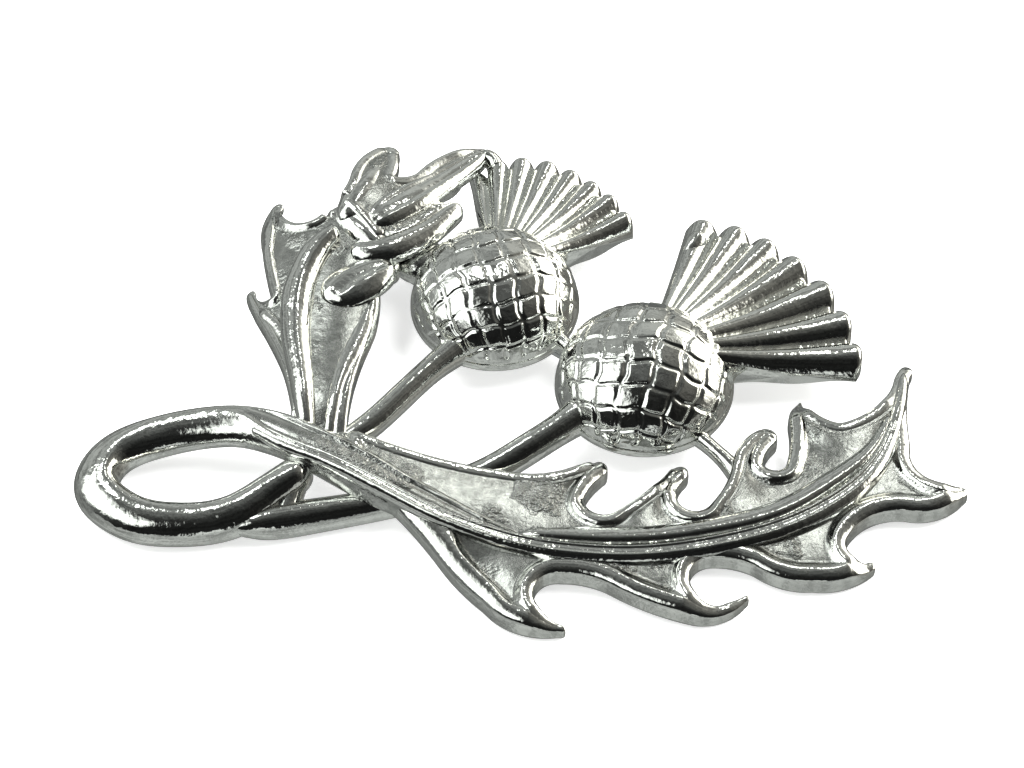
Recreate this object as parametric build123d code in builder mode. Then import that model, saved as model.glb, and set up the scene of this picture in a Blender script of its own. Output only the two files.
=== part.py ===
# Thistle brooch: one cast spray of a looped stem, two thistle heads and two leaves,
# with a pin that hinges and catches on small findings soldered behind it.
# Millimetres, +Z up, lying on its back as it rests on a table.
from build123d import *
import math
import os

# The spray seen from above: the plan places below are hundredths of these two
spray_length = 60.0
spray_width = 40.0

# Heights above the table
back_height = 2.2
pin_height = 1.1
crossing_height = 3.5

# Stems, as width across and thickness through
stem_width = 3.3
stem_thickness = 2.7

# Thistle heads
globe_radius_a = 5.95
globe_radius_b = 6.2
globe_rise = 4.7
rim_band_height = 0.5
rim_band_proud = 0.1
tile_pitch = 1.6
groove_width = 0.3
groove_depth = 0.2
tuft_length_a = 12.4
tuft_length_b = 14.8
rib_count = 7
rib_overlap = 1.12
rib_root_share = 0.8
rib_root_height = 4.9
rib_tip_height = 4.2

# Leaves
leaf_thickness = 1.4
leaf_crown = 2.4
rim_width = 0.75
field_depth = 0.4
midrib_spread = 0.9
midrib_width = 0.9
small_leaf_crown = 4.4
small_rib_width = 1.6
fold_width = 2.2

# Bridges between neighbouring forms
bridge_width = 1.1
bridge_thickness = 1.2
bridge_height = 2.8

# Pin and findings
pin_radius = 0.45
pin_point_length = 3.0
pin_point_radius = 0.12
pin_overrun = 1.4
pin_gap = 0.12
eye_radius = 0.9
eye_width = 1.0
rivet_radius = 0.35
finding_wall = 0.55
catch_width = 2.2
catch_plate_radius = 1.8
web_thickness = 1.5


def spot(x, y):
    """Plan place in millimetres from hundredths of the spray's length and width."""
    return (x / 100 * spray_length, y / 100 * spray_width)


def round_limb(rows, width, thickness, rise, aside=0.0, stops=()):
    """A limb of oval section lofted along its rows, or beside them when aside is given.

    The loft ends and starts again at the rows numbered in stops, where the path turns most.
    """
    centres = [Vector(*spot(x, y), z * rise) for x, y, z, _, _ in rows]
    ends = [0, *stops, len(rows) - 1]
    with BuildPart() as limb:
        for first, last in zip(ends, ends[1:]):
            for number in range(first, last + 1):
                _, _, _, wide, thick = rows[number]
                before = centres[max(number - 1, 0)]
                after = centres[min(number + 1, len(rows) - 1)]
                along = (after - before).normalized()
                across = Vector(-along.Y, along.X, 0).normalized()
                middle = centres[number] + across * (aside * wide)
                with BuildSketch(Plane(origin=middle, x_dir=across, z_dir=along)):
                    Ellipse(wide * width / 2, thick * thickness / 2)
            loft()
    return limb.part


def arched_slab(rows, crossways, crown, over, under):
    """A slab that follows an arched surface, lofted through three points of each row.

    It reaches over the surface and under it by the two amounts. Rows stand at stations
    along x, or along y when crossways is set.
    """
    with BuildPart() as slab:
        for station, low, low_z, middle, middle_z, high, high_z in rows:
            plans = [spot(place, station) if crossways else spot(station, place)
                     for place in (low, middle, high)]
            arch = [Vector(*plan, height * crown)
                    for plan, height in zip(plans, (low_z, middle_z, high_z))]
            across = Vector(arch[2].X - arch[0].X, arch[2].Y - arch[0].Y, 0)
            section = Plane(origin=arch[0], x_dir=across, z_dir=across.cross(Vector(0, 0, 1)))
            flat = [section.to_local_coords(point) for point in arch]
            top = [point + Vector(0, over, 0) for point in flat]
            bottom = [point - Vector(0, under, 0) for point in flat]
            with BuildSketch(section):
                with BuildLine():
                    ThreePointArc(*top)
                    Line(top[2], bottom[2])
                    ThreePointArc(*reversed(bottom))
                    Line(bottom[0], top[0])
                make_face()
        loft()
    return slab.part


def edged_face(start, rows):
    """A face inside a closed edge of arcs: each row is a point on the way and the arc's end."""
    with BuildSketch() as face:
        with BuildLine():
            here = spot(*start)
            for via_x, via_y, end_x, end_y in rows:
                there = spot(end_x, end_y)
                ThreePointArc(here, spot(via_x, via_y), there)
                here = there
            Line(here, spot(*start))
        make_face()
    return face.sketch


def leaf_blade(face, rows, crossways, crown):
    """A blade cut to its face from an arched slab, with the field inside its rim hollowed."""
    height = 2 * (crown + leaf_thickness)
    body = arched_slab(rows, crossways, crown, 0, leaf_thickness)
    hollow = arched_slab(rows, crossways, crown, field_depth, field_depth)
    with BuildPart() as field:
        with BuildSketch():
            add(face)
            offset(amount=-rim_width, kind=Kind.ARC)
        extrude(amount=height)
        add(hollow, mode=Mode.INTERSECT)
    with BuildPart() as blade:
        with BuildSketch():
            add(face)
        extrude(amount=height)
        add(body, mode=Mode.INTERSECT)
        add(field.part, mode=Mode.SUBTRACT)
    return blade.part


def thistle_head(radius, length, first, last, tile_bearing):
    """A tiled dome on a plain band, and a tuft of widening ribs fanned out beside it."""
    dome_radius = (radius**2 + globe_rise**2) / (2 * globe_rise)
    spacing = (last - first) / (rib_count - 1)
    widening = rib_overlap * math.tan(math.radians(abs(spacing) / 2))
    reach = length / (1 + widening)
    root = rib_root_share * radius
    count = 2 * math.ceil(radius / tile_pitch)
    with BuildPart() as head:
        # the tiles, cut from the dome by a lattice of straight slots
        with BuildSketch(Plane.XZ):
            with BuildLine():
                top = (0, rim_band_height + globe_rise)
                Polyline((radius, rim_band_height), (radius, 0), (0, 0), top)
                RadiusArc((radius, rim_band_height), top, -dome_radius)
            make_face()
        revolve(axis=Axis.Z)
        with BuildSketch(Plane.XY):
            for bearing in (tile_bearing, tile_bearing + 90):
                with Locations(Location((0, 0), bearing)):
                    with GridLocations(tile_pitch, 0, count, 1):
                        Rectangle(groove_width, 3 * radius)
        extrude(amount=globe_rise + rim_band_height, mode=Mode.SUBTRACT)
        # the dome under them, and the plain band round its foot
        with BuildSketch(Plane.XZ):
            with BuildLine():
                low_top = (0, top[1] - groove_depth)
                foot = (radius - groove_depth, rim_band_height)
                Polyline(foot, (radius + rim_band_proud, rim_band_height),
                         (radius + rim_band_proud, 0), (0, 0), low_top)
                RadiusArc(foot, low_top, groove_depth - dome_radius)
            make_face()
        revolve(axis=Axis.Z)
        # ribs, each lofted between two round-topped sections and closed by a round end
        for number in range(rib_count):
            out = Vector(1, 0, 0).rotate(Axis.Z, first + number * spacing)
            across = Vector(-out.Y, out.X, 0)
            for distance, rise in ((root, rib_root_height), (reach, rib_tip_height)):
                half = widening * distance
                side = rise - back_height - half
                section = Plane(origin=out * distance, x_dir=across, z_dir=out)
                with BuildSketch(section):
                    with BuildLine():
                        Polyline((-half, side), (-half, 0), (half, 0), (half, side))
                        ThreePointArc((half, side), (0, side + half), (-half, side))
                    make_face()
            loft()
            with BuildSketch(section):
                with BuildLine():
                    Polyline((0, side + half), (0, 0), (half, 0), (half, side))
                    RadiusArc((half, side), (0, side + half), -half)
                make_face()
            revolve(axis=Axis(out * reach, (0, 0, -1)), revolution_arc=180)
    return head.part


# Main stem: it starts on the big leaf, turns round the loop and ends in the first globe.
# Each row: x, y, height, width, thickness
main_stem_stops = (3, 5, 7, 9)
main_stem_rows = [
    (1.0, -37.5, 0.50, 0.70, 0.50),
    (-8.0, -32.8, 0.74, 1.10, 0.75),
    (-18.2, -23.5, 1.00, 1.08, 0.96),
    (-28.3, -17.5, 0.92, 1.00, 1.00),
    (-40.0, -16.8, 0.66, 0.97, 1.00),
    (-46.3, -24.8, 0.44, 0.97, 1.00),
    (-41.0, -33.2, 0.38, 0.93, 0.96),
    (-33.5, -33.4, 0.40, 0.85, 0.94),
    (-27.3, -28.8, 0.54, 0.76, 0.88),
    (-20.5, -19.8, 0.69, 0.64, 0.78),
    (-12.2, -8.0, 0.84, 0.61, 0.74),
    (-5.5, 3.5, 0.91, 0.61, 0.74),
]

# Second stem: it leaves the loop at the fork and passes under the leaf to the other globe.
# Each row: x, y, height, width, thickness
second_stem_rows = [
    (-30.0, -33.2, 0.42, 0.45, 0.60),
    (-24.8, -32.0, 0.40, 0.62, 0.74),
    (-14.0, -28.5, 0.44, 0.62, 0.74),
    (-2.8, -23.0, 0.66, 0.62, 0.74),
    (9.5, -12.0, 0.86, 0.62, 0.74),
]

# Big leaf: its scalloped edge from the stem along the far side, round the tip and back.
# Each row: a point on the way, x and y, and the arc's end, x and y
big_leaf_start = (-20.0, -16.5)
big_leaf_edge = [
    (-10.8, -22.0, -0.7, -24.8),
    (4.8, -24.4, 9.2, -21.0),
    (10.3, -21.7, 10.2, -23.5),
    (8.7, -27.2, 8.0, -30.0),
    (9.0, -32.5, 11.5, -32.8),
    (15.2, -28.2, 18.3, -21.7),
    (19.5, -22.5, 19.3, -24.5),
    (18.5, -27.0, 18.5, -29.8),
    (19.8, -32.2, 22.2, -31.2),
    (24.0, -27.0, 24.8, -22.5),
    (26.0, -18.0, 28.2, -14.5),
    (29.7, -14.8, 29.7, -17.0),
    (28.7, -20.0, 28.3, -22.2),
    (29.5, -23.8, 30.8, -23.0),
    (31.5, -18.0, 31.5, -12.5),
    (32.0, -9.5, 33.2, -7.0),
    (34.7, -11.5, 37.3, -13.8),
    (41.5, -10.0, 44.0, -2.5),
    (44.7, -0.2, 45.3, 1.2),
    (46.2, 0.5, 46.0, -1.5),
    (45.2, -10.0, 45.2, -18.5),
    (45.7, -23.2, 47.7, -25.5),
    (49.2, -26.0, 50.7, -25.8),
    (51.3, -26.7, 50.8, -28.0),
    (48.3, -31.0, 44.2, -31.7),
    (39.8, -33.2, 37.3, -37.2),
    (37.3, -40.0, 39.3, -41.5),
    (40.3, -41.5, 40.2, -42.5),
    (37.2, -45.2, 33.3, -46.0),
    (29.8, -45.5, 26.8, -43.2),
    (24.5, -42.0, 22.0, -41.7),
    (19.8, -44.0, 20.0, -48.0),
    (21.3, -50.0, 23.7, -49.5),
    (24.8, -48.8, 25.8, -47.8),
    (26.2, -48.2, 25.8, -49.0),
    (23.3, -52.0, 20.0, -52.8),
    (15.5, -50.8, 11.2, -47.5),
    (8.2, -45.5, 5.3, -45.0),
    (2.7, -47.0, 2.5, -50.2),
    (3.8, -52.8, 5.7, -54.0),
    (5.8, -54.7, 5.2, -55.0),
    (1.3, -54.0, -2.5, -49.0),
    (-5.5, -43.2, -8.2, -39.2),
    (-11.8, -34.0, -16.7, -28.5),
]

# Its arched top. Each row: x, then y and height at the near edge, middle and far edge
big_leaf_arch = [
    (-22.0, -44.0, 1.55, -25.0, 1.79, -12.0, 1.75),
    (-8.3, -46.0, 0.72, -31.0, 1.33, -17.0, 1.37),
    (1.7, -57.0, 0.58, -36.0, 1.06, -17.0, 1.08),
    (15.0, -57.0, 0.58, -37.0, 1.00, -17.0, 0.96),
    (30.0, -50.0, 0.58, -31.0, 1.00, -5.0, 0.92),
    (42.0, -46.0, 0.58, -20.0, 1.00, 4.0, 0.90),
    (53.0, -40.0, 0.58, -18.0, 0.90, 5.0, 0.80),
]

# Its midrib, a pair of ridges side by side. Each row: x, y, height, width, thickness
midrib_rows = [
    (-25.5, -20.0, 1.70, 0.9, 0.6),
    (-18.0, -25.5, 1.70, 1.0, 1.0),
    (-8.0, -32.8, 1.25, 1.0, 1.0),
    (2.0, -38.0, 0.95, 1.0, 1.0),
    (14.0, -40.7, 0.88, 1.0, 1.0),
    (24.0, -38.2, 0.88, 0.9, 1.0),
    (34.5, -27.5, 0.88, 0.8, 0.9),
    (41.8, -12.3, 0.86, 0.6, 0.8),
    (44.8, -1.5, 0.80, 0.3, 0.5),
]

# Small leaf, lower blade: its edge and its arched top. Arch rows: y, then x and height at
# the left edge, middle and right edge
small_leaf_start = (-25.3, -16.0)
small_leaf_edge = [
    (-26.0, -2.0, -28.0, 5.7),
    (-29.8, 9.8, -31.2, 16.0),
    (-30.7, 16.8, -30.0, 15.7),
    (-29.0, 14.0, -27.7, 13.8),
    (-28.8, 19.8, -29.5, 25.8),
    (-29.7, 30.5, -28.7, 35.0),
    (-28.0, 35.2, -27.3, 33.2),
    (-26.8, 29.8, -25.5, 27.7),
    (-23.8, 27.5, -22.2, 29.5),
    (-19.2, 29.0, -16.3, 24.8),
    (-13.8, 22.0, -13.2, 19.0),
    (-13.5, 17.0, -14.5, 16.0),
    (-15.3, 14.8, -15.3, 12.7),
    (-15.5, 7.5, -16.5, 1.2),
    (-17.8, -6.5, -18.5, -17.5),
]
small_leaf_arch = [
    (-21.0, -29.0, 0.70, -22.2, 0.86, -16.0, 0.72),
    (0.0, -31.5, 0.58, -23.8, 0.98, -13.5, 0.58),
    (15.0, -33.0, 0.54, -24.5, 1.07, -11.5, 0.82),
    (30.0, -31.5, 0.58, -22.5, 1.16, -11.5, 1.02),
    (40.0, -31.5, 0.60, -21.7, 1.18, -11.5, 1.04),
]

# Its rib, from the stem to the fold. Each row: x, y, height, width, thickness
small_rib_rows = [
    (-22.3, -15.0, 0.75, 0.7, 0.8),
    (-23.8, 0.0, 0.85, 0.9, 0.9),
    (-24.5, 13.0, 0.95, 1.0, 1.0),
    (-21.5, 23.5, 1.06, 1.0, 1.0),
]

# Small leaf, upper blade folded over to the right, made as the lower one. Arch rows: x, then
# y and height at the near edge, middle and far edge
folded_leaf_start = (-22.2, 28.5)
folded_leaf_edge = [
    (-20.7, 31.5, -19.7, 35.0),
    (-18.2, 40.5, -15.5, 45.0),
    (-14.2, 45.0, -13.5, 42.2),
    (-13.5, 39.0, -13.8, 36.5),
    (-12.3, 37.0, -11.0, 39.0),
    (-7.8, 44.7, -4.0, 48.2),
    (-2.8, 48.2, -2.8, 46.7),
    (-4.3, 43.5, -6.0, 38.2),
    (-7.0, 35.5, -8.7, 33.8),
    (-7.3, 33.8, -6.2, 32.8),
    (-6.0, 30.8, -7.3, 29.2),
    (-11.0, 24.0, -15.3, 20.8),
    (-17.7, 23.5, -22.0, 27.8),
]
folded_leaf_arch = [
    (-26.0, 15.0, 1.10, 28.0, 1.35, 50.0, 1.10),
    (-18.0, 15.0, 1.25, 28.0, 1.55, 50.0, 1.18),
    (-10.0, 15.0, 1.05, 33.0, 1.32, 50.0, 1.12),
    (1.0, 15.0, 0.75, 42.0, 0.93, 55.0, 0.85),
]

# The rounded fold between its two blades. Each row: x, y, height, width, thickness
fold_rows = [
    (-22.0, 29.8, 1.08, 0.9, 0.9),
    (-19.0, 25.8, 1.16, 1.0, 1.0),
    (-15.0, 22.0, 1.14, 0.9, 0.9),
]

# Thistle heads. Each row: x and y of the globe, its radius, its tuft's length, and the
# bearings of the first rib, the last rib and the tiles
thistle_rows = [
    (-2.0, 13.2, globe_radius_a, tuft_length_a, 89.0, 37.0, 17.0),
    (15.2, -5.2, globe_radius_b, tuft_length_b, 71.0, 6.0, -14.0),
]

# Bridges: globe to globe, globe to big leaf, and small leaf to the first tuft.
# Each row: x, y and height of one end, then x, y and height of the other
bridge_rows = [
    (2.0, 8.0, 1.00, 11.0, 0.0, 1.00),
    (18.5, -12.5, 1.00, 25.5, -23.5, 0.68),
    (-4.2, 46.0, 1.20, -1.0, 42.0, 1.15),
]

# Findings behind the spray, on one line under both globes, and the corners of the web that
# carries the catch between the small leaf and the first globe
hinge_spot = (20.0, -11.5)
catch_spot = (-11.0, 24.0)
web_corners = [(-16.0, 20.5), (-16.0, 28.0), (-6.5, 25.5), (-6.5, 20.5)]

big_leaf_face = edged_face(big_leaf_start, big_leaf_edge)
small_leaf_face = edged_face(small_leaf_start, small_leaf_edge)
folded_leaf_face = edged_face(folded_leaf_start, folded_leaf_edge)

# The line of the pin: out along the wire from the hinge, and sideways to it
hinge_middle = Vector(*spot(*hinge_spot), 0)
catch_middle = Vector(*spot(*catch_spot), 0)
outward = (catch_middle - hinge_middle).normalized()
sideways = outward.cross(Vector(0, 0, 1))
pin_length = (catch_middle - hinge_middle).length + catch_width / 2 + pin_overrun
cheek_inset = eye_width / 2 + pin_gap
hook_inner = pin_radius + pin_gap

# Hinge: two cheeks with a hole for the rivet, standing on the table and soldered above
with BuildPart() as hinge:
    for shift in (cheek_inset, -cheek_inset - finding_wall):
        cheek = Plane(origin=hinge_middle + sideways * shift, x_dir=outward, z_dir=sideways)
        with BuildSketch(cheek):
            with Locations((0, pin_height)):
                Circle(pin_height)
                Rectangle(2 * pin_height, back_height + rim_band_height - pin_height,
                          align=(Align.CENTER, Align.MIN))
                Circle(rivet_radius + pin_gap, mode=Mode.SUBTRACT)
        extrude(amount=finding_wall)

# Catch: a hook open to one side, under a small round plate on its web
with BuildPart() as catch:
    hook = Plane(origin=catch_middle - outward * catch_width / 2, x_dir=-sideways, z_dir=outward)
    with BuildSketch(hook):
        with Locations((0, pin_height)):
            Circle(pin_height)
            Rectangle(pin_height, back_height + finding_wall - pin_height,
                      align=(Align.MAX, Align.MIN))
            Circle(hook_inner, mode=Mode.SUBTRACT)
            Rectangle(pin_height, 2 * hook_inner, align=(Align.MIN, Align.CENTER),
                      mode=Mode.SUBTRACT)
    extrude(amount=catch_width)
    with BuildSketch(Plane.XY.offset(back_height)):
        with Locations(spot(*catch_spot)):
            Circle(catch_plate_radius)
        with BuildLine():
            Polyline(*[spot(*corner) for corner in web_corners], close=True)
        make_face()
    extrude(amount=web_thickness)

# The whole spray, cast in one, with its findings soldered on
with BuildPart() as spray:
    for rows, stops in ((main_stem_rows, main_stem_stops), (second_stem_rows, ())):
        add(round_limb(rows, stem_width, stem_thickness, crossing_height, stops=stops))
    add(leaf_blade(big_leaf_face, big_leaf_arch, False, leaf_crown))
    for aside in (-midrib_spread / 2, midrib_spread / 2):
        add(round_limb(midrib_rows, midrib_width, midrib_width, leaf_crown, aside))
    add(leaf_blade(small_leaf_face, small_leaf_arch, True, small_leaf_crown))
    add(leaf_blade(folded_leaf_face, folded_leaf_arch, False, small_leaf_crown))
    add(round_limb(small_rib_rows, small_rib_width, small_rib_width, small_leaf_crown))
    add(round_limb(fold_rows, fold_width, fold_width, small_leaf_crown))
    for x_a, y_a, z_a, x_b, y_b, z_b in bridge_rows:
        ends = [(x_a, y_a, z_a, 1, 1), (x_b, y_b, z_b, 1, 1)]
        add(round_limb(ends, bridge_width, bridge_thickness, bridge_height))
    add(hinge.part)
    add(catch.part)
    for x, y, radius, length, first, last, tile_bearing in thistle_rows:
        head = thistle_head(radius, length, first, last, tile_bearing)
        add(head.moved(Location((*spot(x, y), back_height))))

# Pin: a pointed wire with an eye round a cross rivet, all one piece
with BuildPart() as wire:
    axle = hinge_middle + Vector(0, 0, pin_height)
    with BuildSketch(Plane(origin=axle, x_dir=outward, z_dir=sideways)):
        with BuildLine():
            Polyline((0, 0), (0, pin_radius), (pin_length - pin_point_length, pin_radius),
                     (pin_length, pin_point_radius), (pin_length, 0), close=True)
        make_face()
    revolve(axis=Axis(axle, outward))
    for radius, width in ((eye_radius, eye_width), (rivet_radius, 2 * (cheek_inset + finding_wall))):
        with BuildSketch(Plane(origin=axle - sideways * width / 2, z_dir=sideways)):
            Circle(radius)
        extrude(amount=width)

# The origin goes under the middle of the spray, at the table
box = spray.part.bounding_box()
home = Location((-box.center().X, -box.center().Y, -box.min.Z))
casting = spray.part.moved(home)
casting.label = "casting"
pin = wire.part.moved(home)
pin.label = "pin"

os.makedirs("parts", exist_ok=True)
export_step(casting, "parts/casting.step")
export_step(pin, "parts/pin.step")
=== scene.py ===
"""Dresses the thistle brooch: chrome-plated cast relief over the plain solids.

Shapes are worked out in drawing millimetres, whose zero is the middle of the spray's drawing.
to_frame lays them into the frame, in metres.
"""
import math

import bpy
import numpy as np
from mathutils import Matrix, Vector


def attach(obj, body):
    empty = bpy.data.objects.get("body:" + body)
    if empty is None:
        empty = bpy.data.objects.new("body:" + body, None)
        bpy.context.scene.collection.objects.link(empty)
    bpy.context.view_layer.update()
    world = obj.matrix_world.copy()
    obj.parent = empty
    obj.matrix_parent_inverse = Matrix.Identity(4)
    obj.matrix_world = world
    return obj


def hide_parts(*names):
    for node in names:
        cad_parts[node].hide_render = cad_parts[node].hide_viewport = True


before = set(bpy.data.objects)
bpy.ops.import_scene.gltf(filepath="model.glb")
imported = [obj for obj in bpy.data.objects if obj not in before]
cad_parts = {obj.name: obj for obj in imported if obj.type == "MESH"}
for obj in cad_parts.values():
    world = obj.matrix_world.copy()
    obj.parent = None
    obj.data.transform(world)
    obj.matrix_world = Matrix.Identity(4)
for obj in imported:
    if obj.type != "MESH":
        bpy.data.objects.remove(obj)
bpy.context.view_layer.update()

# Where the drawing's origin lies in the frame, in millimetres
DRAWING_HOME = np.array([-0.7073, 1.2932, 0.0])
UP = np.array([0.0, 0.0, 1.0])

# Spacing of points along a leaf's edge and of the net inside it
EDGE_STEP = 0.09
NET_STEP = 0.17
# Least height of an underside over the table, and how far a net lies under the strip over it
FLOOR_CLEARANCE = 0.03
HAIR = 0.012


# Finishes


# How fine each noise of a finish is, in waves to the metre
PATCH_NOISE = 340.0
BROAD_RIPPLES = 380.0
CLOUD_NOISE = 900.0
STAIN_NOISE = 1500.0
FINE_RIPPLES = 2400.0
GRAIN_NOISE = 4200.0
# Where in their noise the sparkling patches and the stains begin and are full
PATCH_LIMITS = (0.52, 0.64)
STAIN_LIMITS = (0.35, 0.65)
# Roughness by the clouds on bright plating, and in satin the least and the clouds' part
BRIGHT_CLOUD = 0.05
SATIN_ROUGHNESS = 0.12
SATIN_CLOUD = 0.10
# Depth of the grain on bright plating, and what satin and a sparkling patch add to it
GRAIN_DEPTH = 0.10
SATIN_GRAIN = 0.12
PATCH_GRAIN = 1.9
# Weights of the middling and the fine ripples beside the broad ones, and how satin changes all
MIDDLING_WEIGHT = 0.8
FINE_WEIGHT = 0.4
RIPPLES_IN_SATIN = -0.85
BUMP_STRENGTH = 0.6


def metal(name, tint, dull, bright_roughness, ripple):
    """Plated metal: ripples and a fine cast grain in the bump, cloudy wear in the gloss, and a
    mottled satin where the piece's own satin attribute asks for it.

    The roughness is bright_roughness and a cloudy part, and more in satin outside its sparkling
    patches. The colour goes from tint to dull by satin and stain; on the walls and sides of the
    pieces this duller colour is partly painted shade, standing in for the darker room they mirror.
    The bump, up to ripple metres deep, is the ripples, which satin calms, and the grain, which
    satin and patches deepen.
    """
    material = bpy.data.materials.new(name)
    material.use_nodes = True
    nodes, links = material.node_tree.nodes, material.node_tree.links
    shader = nodes["Principled BSDF"]
    shader.inputs["Metallic"].default_value = 1.0
    place = nodes.new("ShaderNodeTexCoord").outputs["Object"]
    satin = nodes.new("ShaderNodeAttribute")
    satin.attribute_name = "satin"
    satin = satin.outputs["Fac"]

    def noise(scale, detail):
        texture = nodes.new("ShaderNodeTexNoise")
        texture.inputs["Scale"].default_value = scale
        texture.inputs["Detail"].default_value = detail
        links.new(place, texture.inputs["Vector"])
        return texture.outputs["Fac"]

    def between(value, limits, way):
        """How far a value has come from the first limit to the second."""
        span = nodes.new("ShaderNodeMapRange")
        span.interpolation_type = way
        span.inputs["From Min"].default_value = limits[0]
        span.inputs["From Max"].default_value = limits[1]
        links.new(value, span.inputs["Value"])
        return span.outputs["Result"]

    def reckon(operation, *values):
        step = nodes.new("ShaderNodeMath")
        step.operation = operation
        for socket, value in zip(step.inputs, values):
            if isinstance(value, float):
                socket.default_value = value
            else:
                links.new(value, socket)
        return step.outputs["Value"]

    sparkle = reckon("MULTIPLY", satin, between(noise(PATCH_NOISE, 6.0), PATCH_LIMITS, "SMOOTHSTEP"))
    even = reckon("SUBTRACT", satin, sparkle)
    cloud = noise(CLOUD_NOISE, 5.0)
    gloss = reckon("MULTIPLY_ADD", cloud, BRIGHT_CLOUD, bright_roughness)
    dulling = reckon("MULTIPLY", even, reckon("MULTIPLY_ADD", cloud, SATIN_CLOUD, SATIN_ROUGHNESS))
    links.new(reckon("ADD", gloss, dulling), shader.inputs["Roughness"])

    stain = between(noise(STAIN_NOISE, 6.0), STAIN_LIMITS, "LINEAR")
    # The colour darkens towards dull with the satin attribute; on walls and sides that darkening is partly
    # painted shade
    colour = nodes.new("ShaderNodeMix")
    colour.data_type = "RGBA"
    colour.inputs["A"].default_value = (*tint, 1)
    colour.inputs["B"].default_value = (*dull, 1)
    wear = reckon("MULTIPLY_ADD", stain, 0.5, 0.5)
    links.new(reckon("MULTIPLY", satin, wear), colour.inputs["Factor"])
    links.new(colour.outputs["Result"], shader.inputs["Base Color"])

    grain = reckon("MULTIPLY_ADD", sparkle, PATCH_GRAIN, GRAIN_DEPTH)
    grain = reckon("MULTIPLY_ADD", satin, SATIN_GRAIN, grain)
    pits = reckon("MULTIPLY", noise(GRAIN_NOISE, 3.0), grain)
    ripples = reckon("MULTIPLY_ADD", noise(CLOUD_NOISE, 2.0), MIDDLING_WEIGHT, noise(BROAD_RIPPLES, 1.0))
    ripples = reckon("MULTIPLY_ADD", noise(FINE_RIPPLES, 2.0), FINE_WEIGHT, ripples)
    calm = reckon("MULTIPLY_ADD", satin, RIPPLES_IN_SATIN, 1.0)
    bump = nodes.new("ShaderNodeBump")
    bump.inputs["Distance"].default_value = ripple
    bump.inputs["Strength"].default_value = BUMP_STRENGTH
    links.new(reckon("MULTIPLY_ADD", ripples, calm, pits), bump.inputs["Height"])
    links.new(bump.outputs["Normal"], shader.inputs["Normal"])
    return material


# Each metal: its tint, its dull tint, the least roughness and the ripples' depth in metres
plate = metal("chrome plate", (0.90, 0.91, 0.88), (0.48, 0.49, 0.47), 0.035, 0.00009)
wire_steel = metal("pin wire", (0.66, 0.67, 0.68), (0.55, 0.56, 0.57), 0.16, 0.00001)


# Meshes


def to_frame(points):
    """Drawing millimetres to frame metres."""
    return (np.asarray(points, float) + DRAWING_HOME) * 0.001


def lay_piece(name, points, quads, satin=None):
    """A smooth piece. A quad whose last two corners agree is a triangle, and satin is how dull
    each point is, from 0 to 1."""
    points = np.asarray(points, float)
    three = quads[quads[:, 2] == quads[:, 3], :3]
    four = quads[quads[:, 2] != quads[:, 3]]
    corners = np.concatenate([four.ravel(), three.ravel()]).astype(np.int32)
    starts = np.concatenate([np.arange(len(four)) * 4, four.size + np.arange(len(three)) * 3])
    mesh = bpy.data.meshes.new(name)
    mesh.vertices.add(len(points))
    mesh.vertices.foreach_set("co", to_frame(points).astype(np.float32).ravel())
    mesh.loops.add(len(corners))
    mesh.loops.foreach_set("vertex_index", corners)
    mesh.polygons.add(len(starts))
    mesh.polygons.foreach_set("loop_start", starts.astype(np.int32))
    mesh.polygons.foreach_set("use_smooth", np.ones(len(starts), bool))
    mesh.update(calc_edges=True)
    # On walls and sides the satin's duller colour is partly painted shade
    layer = mesh.attributes.new("satin", "FLOAT", "POINT")
    satin = np.zeros(len(points)) if satin is None else satin
    layer.data.foreach_set("value", np.asarray(satin, np.float32).ravel())
    mesh.materials.append(plate)
    piece = bpy.data.objects.new(name, mesh)
    bpy.context.scene.collection.objects.link(piece)
    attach(piece, "root")
    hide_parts("casting")
    return piece


def grid_quads(rows, columns, closed=False):
    """Corner numbers of the quads of a grid, going round along its columns where closed."""
    row, column = np.meshgrid(np.arange(rows - 1), np.arange(columns if closed else columns - 1),
                              indexing="ij")
    beside = (column + 1) % columns
    return np.stack([row * columns + column, row * columns + beside,
                     (row + 1) * columns + beside, (row + 1) * columns + column], -1).reshape(-1, 4)


def tube(grid):
    """Points and quads of a closed tube from rings of points, its ends closed by fans."""
    rings, columns = grid.shape[:2]
    points = np.concatenate([grid.reshape(-1, 3), grid[:1].mean(1), grid[-1:].mean(1)])
    rim = np.arange(columns)
    beside = np.roll(rim, -1)
    last = (rings - 1) * columns
    first_middle = np.full(columns, rings * columns)
    first_fan = np.stack([beside, rim, first_middle, first_middle], -1)
    last_fan = np.stack([last + rim, last + beside, first_middle + 1, first_middle + 1], -1)
    quads = np.concatenate([grid_quads(rings, columns, closed=True), first_fan, last_fan])
    a, b, c = (points[quads[:, corner]] for corner in range(3))
    if (points[quads[:, 0]] * np.cross(b - a, c - a)).sum() < 0:
        square = quads[:, 2] != quads[:, 3]
        quads = np.where(square[:, None], quads[:, ::-1], quads[:, [1, 0, 2, 2]])
    return points, quads


# Curves


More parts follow.
